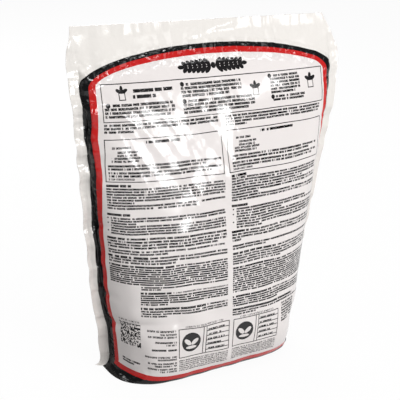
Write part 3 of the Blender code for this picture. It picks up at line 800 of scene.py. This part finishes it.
def inside_arch(tree, u, v, size):
    """1 inside one border outline and 0 outside, with a soft edge, and the depth inside it."""
    half, foot, rise = size
    across = node(tree, "Math", [u], operation="ABSOLUTE")
    share = node(tree, "Math", [across, half], operation="DIVIDE")
    square = node(tree, "Math", [share, share], operation="MULTIPLY")
    rest = node(tree, "Math", [1, square], operation="SUBTRACT", use_clamp=True)
    head = node(tree, "Math", [rest], operation="SQRT")
    top = node(tree, "Math", [head, rise, ARCH_SPRING], operation="MULTIPLY_ADD")
    below_top = node(tree, "Math", [top, v], operation="SUBTRACT")
    above_foot = node(tree, "Math", [v, foot], operation="SUBTRACT")
    inside = node(tree, "Math", [half, across], operation="SUBTRACT")
    least = node(tree, "Math", [below_top, above_foot], operation="MINIMUM")
    depth = node(tree, "Math", [least, inside], operation="MINIMUM")
    return node(tree, "MapRange", {"Value": depth, "From Min": -SOFT_EDGE, "From Max": SOFT_EDGE}), depth


def row_block(left, right, top, rows, pitch, last=None, weight=PLAIN_WEIGHT):
    """Rows of small type as fields in millimetres: left, bottom, right, top, pitch, weight of the type."""
    fields = []
    full = rows if last is None else rows - 1
    if full:
        fields.append((left, top - full * pitch, right, top, pitch, weight))
    if last is not None:
        fields.append((left, top - rows * pitch, last, top - full * pitch, pitch, weight))
    return fields


def heading(left, right, top, height=4.0):
    """One row of bold type."""
    return row_block(left, right, top, 1, height, weight=BOLD_WEIGHT)


def type_layout():
    """All rows of small type on the printed panel, in millimetres of film."""
    left, middle_left, right = -143, -3, 140
    table_rows = ((7, 22, 294.8), (13, 24, 290.0), (13, 22, 286.4), (7, 34, 283.2), (7, 30, 279.8))
    rows = []
    # head box: two bold rows and numbered notes in three groups
    rows += heading(-108, -60, 356, 5.0) + heading(-108, -81, 350, 5.0)
    rows += row_block(-132, -62, 341.5, 1, 4.0) + row_block(-141, -60, 337.5, 3, 4.0, last=-66)
    rows += row_block(-43, 28, 358, 1, 3.9) + row_block(-50, 28, 354.1, 3, 3.9, last=10)
    rows += row_block(-43, 40, 340.5, 1, 3.9) + row_block(-50, 43, 336.6, 3, 3.9, last=34)
    rows += row_block(73, 108, 359, 1, 3.6) + row_block(67, 110, 355.4, 5, 3.6, last=102)
    rows += row_block(73, 116, 336, 1, 3.6) + row_block(69, 114, 332.4, 1, 3.6)
    # notes between the head box and the tables
    rows += row_block(left, -7, 320, 3, 3.7, last=-110) + row_block(2, right, 320, 4, 3.3, last=30)
    # tables: a bold title, indented rows, then two pairs of full rows and one short row
    for start, end, title in ((left, -4, (-97, -55)), (5, 140, (48, 96))):
        rows += heading(*title, 300.2, 4.2)
        for inset, length, top in table_rows:
            rows += row_block(start + inset, start + inset + length, top, 1, 3.5, weight=0.85)
        rows += row_block(start + 3, end - 3, 274.4, 2, 3.5, last=start + 118)
        rows += row_block(start + 3, end - 3, 266.4, 2, 3.5, last=start + 124)
        rows += row_block(start + 3, start + 31, 259.2, 1, 3.2, weight=0.7)
    # left column
    rows += heading(left, -116, 252.0) + row_block(left, middle_left, 247.8, 5, 3.15)
    rows += row_block(left, -113, 232.05, 1, 3.15) + row_block(left, middle_left, 228.9, 2, 3.15, last=-41)
    rows += heading(left - 1, -118, 218.8) + row_block(-140, middle_left, 214.0, 2, 3.0)
    rows += row_block(-140, -112, 208.0, 1, 3.0) + row_block(-140, middle_left, 205.0, 4, 3.0)
    rows += heading(-145, -125, 190.4, 3.8) + row_block(-123, middle_left, 190.4, 1, 3.4)
    rows += row_block(-145, middle_left, 186.6, 3, 3.3, last=-15)
    rows += row_block(-145, -6, 175.4, 2, 3.0, last=-77)
    rows += heading(-146, -100, 168.4) + row_block(-98, middle_left, 168.0, 1, 3.0)
    rows += row_block(-145, middle_left, 164.6, 2, 3.1, last=-68)
    rows += heading(-145, -70, 157.2, 3.4) + row_block(-68, middle_left, 156.8, 1, 2.6, weight=BOLD_WEIGHT)
    rows += row_block(-145, middle_left, 153.8, 8, 2.55, weight=BOLD_WEIGHT)
    rows += row_block(-108, middle_left, 132.6, 2, 2.5, last=-86, weight=BOLD_WEIGHT)
    rows += heading(-109, -74, 126.0, 3.6) + row_block(-72, middle_left, 125.6, 1, 2.6, weight=0.7)
    rows += row_block(-109, middle_left, 122.4, 5, 2.65, last=-78, weight=BOLD_WEIGHT)
    rows += heading(-109, -32, 107.2, 3.8) + row_block(-30, middle_left, 106.8, 1, 2.8)
    rows += row_block(-109, middle_left, 103.4, 3, 2.8, last=-78)
    # right column
    rows += heading(5, 27, 252.4) + row_block(5, right, 248.6, 4, 3.1, last=112)
    rows += row_block(5, right, 236.2, 3, 3.1, last=42) + row_block(5, right, 226.9, 2, 3.1)
    rows += heading(5, 26, 217.6) + row_block(11, 118, 213.2, 1, 3.1) + row_block(11, right, 210.1, 1, 3.1)
    rows += row_block(11, 76, 207.0, 1, 3.1) + row_block(11, right, 203.9, 5, 3.1, last=45)
    rows += heading(4, 27, 187.0, 3.8) + row_block(29, right, 186.6, 1, 3.2)
    rows += row_block(4, right, 183.2, 3, 3.2, last=17) + row_block(4, right, 170.4, 2, 3.1, last=51)
    rows += heading(4, 66, 161.8, 3.8) + row_block(68, right, 161.4, 1, 3.0)
    rows += row_block(4, right, 158.0, 4, 2.9, last=73)
    rows += heading(4, 84, 144.2, 3.2) + row_block(86, right, 144.0, 1, 2.6, weight=BOLD_WEIGHT)
    rows += row_block(4, right, 141.0, 11, 2.6, weight=BOLD_WEIGHT)
    rows += heading(4, 60, 109.2, 3.4) + row_block(62, right, 109.0, 1, 2.6, weight=BOLD_WEIGHT)
    rows += row_block(4, right, 105.8, 4, 2.6, last=70, weight=BOLD_WEIGHT)
    rows += heading(4, 100, 93.6, 3.6) + row_block(4, right, 90.0, 2, 2.8, last=36)
    rows += row_block(77, 104, 85.6, 8, 3.1, last=92)
    # foot: rows beside the seal boxes, titles over them, dense rows under them and short rows inside
    for start, top, weight in FOOT_ROWS:
        rows += row_block(start, -69, top, 1, 3.2, weight=weight)
    rows += row_block(-139, -112, 89.0, 1, 3.2, weight=0.6) + row_block(-140, -114, 36.0, 2, 3.2, last=-122)
    for start, end in SEAL_BOXES:
        rows += row_block(start + 8, end - 8, 83.6, 1, 3.4, weight=0.45)
        rows += row_block(start, end, 42.0, 6, 2.5, weight=0.62)
        for i in range(5):
            rows += row_block(start + 37, end - 6 - 5 * (i % 2), 76.4 - SEAL_ROW * i, 1, 3.4, weight=0.85)
    return rows


def box_layout():
    """Thin ruled boxes and lines in millimetres of film: left, bottom, right, top."""
    boxes = [HEAD_BOX, *TABLE_BOXES]
    for u, v, size in POTS:
        half = POT_HALF_WIDTH * size
        boxes.append((u - half, v - POT_BOTTOM * size, u + half, v - POT_RIM * size))
    strip_left, strip_right = SEAL_BOX_STRIP
    for start, end in SEAL_BOXES:
        boxes.append((start, SEAL_BOX_BOTTOM, end, SEAL_BOX_TOP))
        boxes.append((start + strip_left, SEAL_BOX_BOTTOM, start + strip_right, SEAL_BOX_TOP))
        for i in (1, 3, 5):
            row_top = SEAL_BOX_TOP - SEAL_ROW * (i - 1)
            boxes.append((start + strip_right, SEAL_BOX_TOP - SEAL_ROW * i, end, row_top))
    return boxes


def leaf(base_u, base_v, turn, length, width):
    """One leaf as a turned oval that starts at its base."""
    angle = math.radians(turn)
    middle_u = base_u + length / 2 * math.cos(angle)
    middle_v = base_v + length / 2 * math.sin(angle)
    return (middle_u, middle_v, length / 2, width / 2, turn)


def laurel_layout():
    """Ornament over the head box: a laurel spray that runs both ways from a berry."""
    middle_u, middle_v = LAUREL_MIDDLE
    ovals = [(middle_u, middle_v, 3.2, 3.2, 0)]
    for way in (-1, 1):
        ovals.append((middle_u + way * LAUREL_LENGTH / 2, middle_v, LAUREL_LENGTH / 2, 0.9, 0))
        for i in range(LAUREL_PAIRS):
            base_u = middle_u + way * (3.6 + LAUREL_STEP * i)
            for turn in (-LAUREL_SPREAD, LAUREL_SPREAD):
                along = turn if way > 0 else 180 - turn
                ovals.append(leaf(base_u, middle_v, along, 10.6 - 0.5 * i, 4.9))
        ovals.append(leaf(middle_u + way * (LAUREL_LENGTH - 1), middle_v, 0 if way > 0 else 180, 8.0, 4.2))
    return ovals


def leaf_layout():
    """Leaves, dots and discs as turned ovals in millimetres: centre, half length, half width, turn."""
    ovals = laurel_layout()
    # potted plants in the head box
    for base_u, base_v, size in POTS:
        for turn, length in ((28, 7.6), (90, 7.4), (152, 7.6)):
            ovals.append(leaf(base_u, base_v - 0.2 * size, turn, length * size, 3.8 * size))
    # round marks before the numbered notes, and dots before the hints
    for centre_u, centre_v in NOTE_MARKS:
        ovals.append((centre_u, centre_v, 2.5, 2.5, 0))
    for centre_v in HINT_HEIGHTS:
        ovals.append((-143.2, centre_v, 0.9, 0.9, 0))
        ovals.append((7.2, centre_v - 1.2, 0.9, 0.9, 0))
    # dark discs of the seals in the boxes at the foot
    for centre_u, centre_v in SEALS:
        ovals.append((centre_u, centre_v, SEAL_RADIUS, SEAL_RADIUS, 0))
    return ovals


def clear_layout():
    """Ovals left clear of ink inside the dark discs: two broad leaves over a mound."""
    ovals = []
    for centre_u, centre_v in SEALS:
        ovals.append(leaf(centre_u - 0.5, centre_v - 3.0, 138, 10.5, 5.2))
        ovals.append(leaf(centre_u + 0.5, centre_v - 3.0, 42, 10.5, 5.2))
        ovals.append((centre_u, centre_v - 6.4, 6.8, 1.9, 0))
    return ovals


def in_box(tree, u, v, box, grown=0.0):
    """1 inside a box given in millimetres of film, which may be grown on each side, and 0 outside."""
    left, bottom, right, top = box
    half_width = (right - left) / 2 * MM + grown * MM
    half_height = (top - bottom) / 2 * MM + grown * MM
    in_width = node(tree, "Math", [u, (left + right) / 2 * MM, half_width], operation="COMPARE")
    in_height = node(tree, "Math", [v, (bottom + top) / 2 * MM, half_height], operation="COMPARE")
    return node(tree, "Math", [in_width, in_height], operation="MULTIPLY")


def type_mask(tree, u, v, rows):
    """1 where small type is inked: rows of marks of random width that spell nothing."""
    facts = [0.0, 0.0, 0.0]
    for left, bottom, right, top, pitch, weight in rows:
        inside = in_box(tree, u, v, (left, bottom, right, top))
        for place, fact in enumerate((top * MM, pitch * MM, weight)):
            facts[place] = node(tree, "Math", [inside, fact, facts[place]], operation="MULTIPLY_ADD")
    top, pitch, weight = facts
    below = node(tree, "Math", [top, v], operation="SUBTRACT")
    row_place = node(tree, "Math", [below, pitch], operation="DIVIDE")
    row = node(tree, "Math", [row_place], operation="FLOOR")
    height = node(tree, "Math", [row_place], operation="FRACT")
    band = node(tree, "Math", [height, 0.5, TYPE_HALF_HEIGHT], operation="COMPARE")
    row_name = node(tree, "Math", [top, ROW_SPREAD, row], operation="MULTIPLY_ADD")
    letter_width = node(tree, "Math", [pitch, LETTER_WIDTH], operation="MULTIPLY")
    letters = node(tree, "Math", [u, letter_width], operation="DIVIDE")
    letter = node(tree, "Math", [letters], operation="FLOOR")
    letter_name = node(tree, "CombineXYZ", [letter, row_name, 0.0])
    gap = node(tree, "TexWhiteNoise", {"Vector": letter_name}, noise_dimensions="3D")
    no_gap = node(tree, "Math", [gap.outputs["Value"], LETTER_GAPS], operation="GREATER_THAN")
    stroke_place = node(tree, "Math", [letters, LETTER_STROKES], operation="MULTIPLY")
    stroke = node(tree, "Math", [stroke_place], operation="FLOOR")
    level_place = node(tree, "Math", [height, LETTER_LEVELS], operation="MULTIPLY")
    level = node(tree, "Math", [level_place], operation="FLOOR")
    stroke_name = node(tree, "CombineXYZ", [stroke, row_name, level])
    speck = node(tree, "TexWhiteNoise", {"Vector": stroke_name}, noise_dimensions="3D")
    inked = node(tree, "Math", [speck.outputs["Value"], weight], operation="LESS_THAN")
    marks = node(tree, "Math", [inked, no_gap], operation="MULTIPLY")
    return node(tree, "Math", [marks, band], operation="MULTIPLY")


def square_mask(tree, u, v):
    """1 on about half of the small squares of the block beside the left boxes; they say nothing."""
    in_block = in_box(tree, u, v, SQUARE_BLOCK)
    across = node(tree, "Math", [u, SQUARE_SIZE * MM], operation="DIVIDE")
    column = node(tree, "Math", [across], operation="FLOOR")
    up = node(tree, "Math", [v, SQUARE_SIZE * MM], operation="DIVIDE")
    row = node(tree, "Math", [up], operation="FLOOR")
    name = node(tree, "CombineXYZ", [column, row, 7.0])
    chance = node(tree, "TexWhiteNoise", {"Vector": name}, noise_dimensions="3D")
    inked = node(tree, "Math", [chance.outputs["Value"], SQUARE_SHARE], operation="LESS_THAN")
    return node(tree, "Math", [in_block, inked], operation="MULTIPLY")


def line_mask(tree, u, v, boxes):
    """1 on the thin rules of the boxes."""
    mask = 0.0
    for box in boxes:
        outer = in_box(tree, u, v, box, RULE / 2)
        inner = in_box(tree, u, v, box, -RULE / 2)
        on_line = node(tree, "Math", [outer, inner], operation="SUBTRACT")
        mask = node(tree, "Math", [on_line, mask], operation="MAXIMUM")
    return mask


def oval_mask(tree, u, v, ovals):
    """1 inside leaves, dots and seals."""
    mask = 0.0
    for centre_u, centre_v, long, short, turn in ovals:
        squares = 0.0
        for size, angle in ((long, turn), (short, turn + 90)):
            across = math.cos(math.radians(angle)) / (size * MM)
            up = math.sin(math.radians(angle)) / (size * MM)
            start = -(centre_u * across + centre_v * up) * MM
            part = node(tree, "Math", [v, up, start], operation="MULTIPLY_ADD")
            part = node(tree, "Math", [u, across, part], operation="MULTIPLY_ADD")
            squares = node(tree, "Math", [part, part, squares], operation="MULTIPLY_ADD")
        inside = node(tree, "Math", [squares, 1], operation="LESS_THAN")
        mask = node(tree, "Math", [inside, mask], operation="MAXIMUM")
    return mask


def touching(field, marks):
    """The marks that reach into a field; ovals are given by centre and sizes, the rest by corners."""
    left, bottom, right, top = field
    kept = []
    for mark in marks:
        a, b, c, d = mark[:4]
        if len(mark) == 5:
            a, b, c, d = a - c, b - c, a + c, b + c
        beside = a > right + FIELD_MARGIN or c < left - FIELD_MARGIN
        if not (beside or b > top + FIELD_MARGIN or d < bottom - FIELD_MARGIN):
            kept.append(mark)
    return kept


def border_place(tree, u, v):
    """The place across the film at which the border is printed: it drifts a little sideways."""
    from_waist = node(tree, "Math", [v, WAIST], operation="SUBTRACT")
    from_waist = node(tree, "Math", [from_waist], operation="ABSOLUTE")
    place = u
    for height, (shift, full, gone) in ((v, LOWER_DRIFT), (from_waist, WAIST_DRIFT), (v, FOOT_DRIFT)):
        ramp = {"Value": height, "From Min": full, "From Max": gone, "To Min": shift, "To Max": 0}
        drift = node(tree, "MapRange", ramp)
        place = node(tree, "Math", [place, drift], operation="ADD")
    return place


def panel_ink(tree, u, v, field):
    """1 where the print inside the border is inked in one field of the sheet."""
    type_ink = type_mask(tree, u, v, touching(field, type_layout()))
    lines = line_mask(tree, u, v, touching(field, box_layout()))
    ovals = oval_mask(tree, u, v, touching(field, leaf_layout()))
    clear = oval_mask(tree, u, v, touching(field, clear_layout()))
    ovals = node(tree, "Math", [ovals, clear], operation="SUBTRACT", use_clamp=True)
    solid = node(tree, "Math", [lines, ovals], operation="MAXIMUM")
    if field == FIELDS["foot"]:
        squares = square_mask(tree, u, v)
        solid = node(tree, "Math", [squares, solid], operation="MAXIMUM")
    return node(tree, "Math", [type_ink, solid], operation="MAXIMUM")


def film_relief(tree, place, u, v, depth):
    """Bump of the film: crinkled facets along the border and fine stretch lines all over."""
    warp = node(tree, "TexNoise", {"Vector": place, "Scale": WARP_SCALE, "Detail": 1.0})
    crinkle_u = node(tree, "Math", [warp, WARP_U, u], operation="MULTIPLY_ADD")
    crinkle_v = node(tree, "Math", [warp, WARP_V, v], operation="MULTIPLY_ADD")
    crinkle_place = node(tree, "CombineXYZ", [crinkle_u, crinkle_v, 0.0])
    above_foot = node(tree, "Math", [v, FOOT_CRINKLE_TOP], operation="GREATER_THAN")
    foot_scale = CRINKLE_SCALE * FOOT_CRINKLE_SHARE
    scale = node(tree, "MapRange", {"Value": above_foot, "To Min": foot_scale, "To Max": CRINKLE_SCALE})
    facets = node(tree, "TexVoronoi", {"Vector": crinkle_place, "Scale": scale}, distance="MANHATTAN")
    from_band = node(tree, "Math", [depth, -CRINKLE_DEPTH], operation="ADD")
    from_band = node(tree, "Math", [from_band], operation="ABSOLUTE")
    ramp = {"Value": from_band, "From Min": CRINKLE_FULL, "From Max": CRINKLE_GONE}
    ramp.update({"To Min": 1, "To Max": CRINKLE_LEFT})
    crinkled = node(tree, "MapRange", ramp)
    facet_height = node(tree, "Math", [facets, crinkled], operation="MULTIPLY")
    facet_bump = node(tree, "Bump", {"Strength": 1.0, "Distance": CRINKLE_HEIGHT, "Height": facet_height})
    lines = {"Vector": place, "Scale": STRETCH_SCALE, "Detail": 2.0, "Distortion": 0.6}
    line_height = node(tree, "TexNoise", lines)
    relief = {"Strength": STRETCH_STRENGTH, "Distance": STRETCH_HEIGHT, "Height": line_height}
    relief["Normal"] = facet_bump
    return node(tree, "Bump", relief)


def polyethylene_film(name, field=None):
    """Blown polyethylene film with a printed border: smooth and glossy, with fine stretch lines and crinkles.

    The eye sees sharp white highlights on it, broken up by its creases."""
    material = bpy.data.materials.new(name)
    material.use_nodes = True
    tree = material.node_tree
    shader = tree.nodes["Principled BSDF"]
    place = node(tree, "UVMap", uv_map="film")
    u_and_v = node(tree, "SeparateXYZ", [place])
    u, v = u_and_v.outputs[0], u_and_v.outputs[1]
    panel_colour = linear(FILM_WHITE)
    if field:
        ink = panel_ink(tree, u, v, field)
        layers = {0: ink, MIX_FIRST: panel_colour, MIX_SECOND: linear(TYPE_INK)}
        panel_colour = node(tree, "Mix", layers, data_type="RGBA").outputs[MIX_RESULT]
    border_u = border_place(tree, u, v)
    outlines = [inside_arch(tree, border_u, v, size) for size in border_sizes()]
    colour = linear(FLAP_WHITE)
    for (inside, _), ink in zip(outlines, (linear(INK_BLACK), linear(INK_RED), panel_colour)):
        layers = {0: inside, MIX_FIRST: colour, MIX_SECOND: ink}
        colour = node(tree, "Mix", layers, data_type="RGBA").outputs[MIX_RESULT]
    tree.links.new(colour, shader.inputs["Base Color"])
    depth = outlines[0][1]
    relief = film_relief(tree, place, u, v, depth)
    tree.links.new(relief.outputs[0], shader.inputs["Normal"])
    shader.inputs["Roughness"].default_value = FILM_ROUGHNESS
    shader.inputs["IOR"].default_value = FILM_IOR
    return material


def make_pack():
    """The film pack: two sheets laid on the form, sealed at the rim, closed at the base."""
    sections = build_sections()
    drifts = blow_up(sections)
    printed = lay_sheet(sections, drifts, "film_pack", -1)
    far = lay_sheet(sections, drifts, "far_sheet", 1)
    film = [polyethylene_film("printed_polyethylene_film_" + name, field) for name, field in FIELDS.items()]
    film += [polyethylene_film("bordered_polyethylene_film"), polyethylene_film("base_polyethylene_film")]
    for sheet in (printed, far):
        for material in film:
            sheet.data.materials.append(material)
    pack = close_pack(printed, far)
    bpy.ops.object.select_all(action="DESELECT")
    pack.select_set(True)
    bpy.context.view_layer.objects.active = pack
    bpy.ops.object.shade_smooth_by_angle(angle=math.radians(SMOOTH_ANGLE))
    return pack


def direction(azimuth, elevation):
    """A unit vector; azimuth 0 is -Y and 90 is +X, elevation is above the horizon, in degrees."""
    a, e = math.radians(azimuth), math.radians(elevation)
    return Vector((math.sin(a) * math.cos(e), -math.cos(a) * math.cos(e), math.sin(e)))


def make_camera():
    """The photograph's view of the pack."""
    roll = math.radians(CAMERA_ROLL)
    back = direction(CAMERA_AZIMUTH, CAMERA_ELEVATION)
    right = (-back).cross(Vector((0, 0, 1))).normalized()
    up = right.cross(-back)
    turned_right = right * math.cos(roll) + up * math.sin(roll)
    turned_up = up * math.cos(roll) - right * math.sin(roll)
    camera = bpy.data.objects.new("camera", bpy.data.cameras.new("camera"))
    bpy.context.scene.collection.objects.link(camera)
    turn = Matrix((turned_right, turned_up, back)).transposed().to_4x4()
    camera.matrix_world = Matrix.Translation(CAMERA_AIM + CAMERA_DISTANCE * back) @ turn
    camera.data.sensor_width = 36
    camera.data.lens = CAMERA_LENS
    bpy.context.scene.camera = camera


def soft_box(name, azimuth, elevation, distance, width, height, power):
    """A rectangular studio lamp that faces the pack."""
    data = bpy.data.lights.new(name, "AREA")
    data.shape = "RECTANGLE"
    data.size = width
    data.size_y = height
    data.energy = power
    lamp = bpy.data.objects.new(name, data)
    bpy.context.scene.collection.objects.link(lamp)
    toward = direction(azimuth, elevation)
    lamp.location = LAMP_AIM + toward * distance
    lamp.rotation_mode = "QUATERNION"
    lamp.rotation_quaternion = toward.to_track_quat("Z", "Y")


def make_floor():
    """A plain pale matt floor: it takes the shadow, looks white and is mirrored in the front of the film."""
    bpy.ops.mesh.primitive_plane_add(size=FLOOR_SIZE)
    floor = bpy.context.active_object
    floor.name = "floor"
    material = bpy.data.materials.new("matt_white_studio_floor")
    material.use_nodes = True
    tree = material.node_tree
    shader = tree.nodes["Principled BSDF"]
    shader.inputs["Base Color"].default_value = FLOOR_GREY
    shader.inputs["Roughness"].default_value = 0.9
    shader.inputs["Specular IOR Level"].default_value = 0.1
    glow = node(tree, "Emission", [(1, 1, 1, 1), FLOOR_GLOW])
    rays = node(tree, "LightPath")
    floor_place = node(tree, "TexCoord")
    floor_axes = node(tree, "SeparateXYZ", [floor_place.outputs["Object"]])
    slanted = node(tree, "Math", [floor_axes.outputs[0], FRONT_SLANT, FRONT_OFFSET], operation="MULTIPLY_ADD")
    forward = node(tree, "Math", [slanted, floor_axes.outputs[1]], operation="SUBTRACT")
    ramp = {"Value": forward, "From Min": FRONT_FROM, "From Max": FRONT_TO, "To Max": FLOOR_MIRRORED}
    in_front = node(tree, "MapRange", ramp)
    mirrored = node(tree, "Math", [rays.outputs["Is Glossy Ray"], in_front], operation="MULTIPLY")
    seen = rays.outputs["Is Camera Ray"]
    share = node(tree, "Math", [seen, FLOOR_SEEN, mirrored], operation="MULTIPLY_ADD")
    mix = node(tree, "MixShader", [share, shader, glow])
    tree.links.new(mix.outputs[0], tree.nodes["Material Output"].inputs["Surface"])
    floor.data.materials.append(material)


def make_world():
    """White surroundings that the camera sees at full strength and the film mirrors faintly."""
    world = bpy.context.scene.world or bpy.data.worlds.new("studio")
    bpy.context.scene.world = world
    world.use_nodes = True
    tree = world.node_tree
    background = tree.nodes["Background"]
    background.inputs["Color"].default_value = (1, 1, 1, 1)
    rays = node(tree, "LightPath")
    straight = [rays.outputs["Is Camera Ray"], rays.outputs["Is Transmission Ray"]]
    seen = node(tree, "Math", straight, operation="MAXIMUM")
    mirrored = [rays.outputs["Is Glossy Ray"], WORLD_MIRRORED - WORLD_LIGHT, WORLD_LIGHT]
    unseen = node(tree, "Math", mirrored, operation="MULTIPLY_ADD")
    strength = node(tree, "Math", [seen, unseen], operation="MAXIMUM")
    tree.links.new(strength.outputs[0], background.inputs["Strength"])


def make_stage():
    """A plain pale floor, white surroundings and soft studio lamps."""
    make_floor()
    make_world()
    for lamp in LAMPS:
        soft_box(*lamp)
    bpy.context.scene.view_settings.view_transform = "Standard"


pack = make_pack()
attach(pack, "root")
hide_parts("bag")
make_camera()
make_stage()
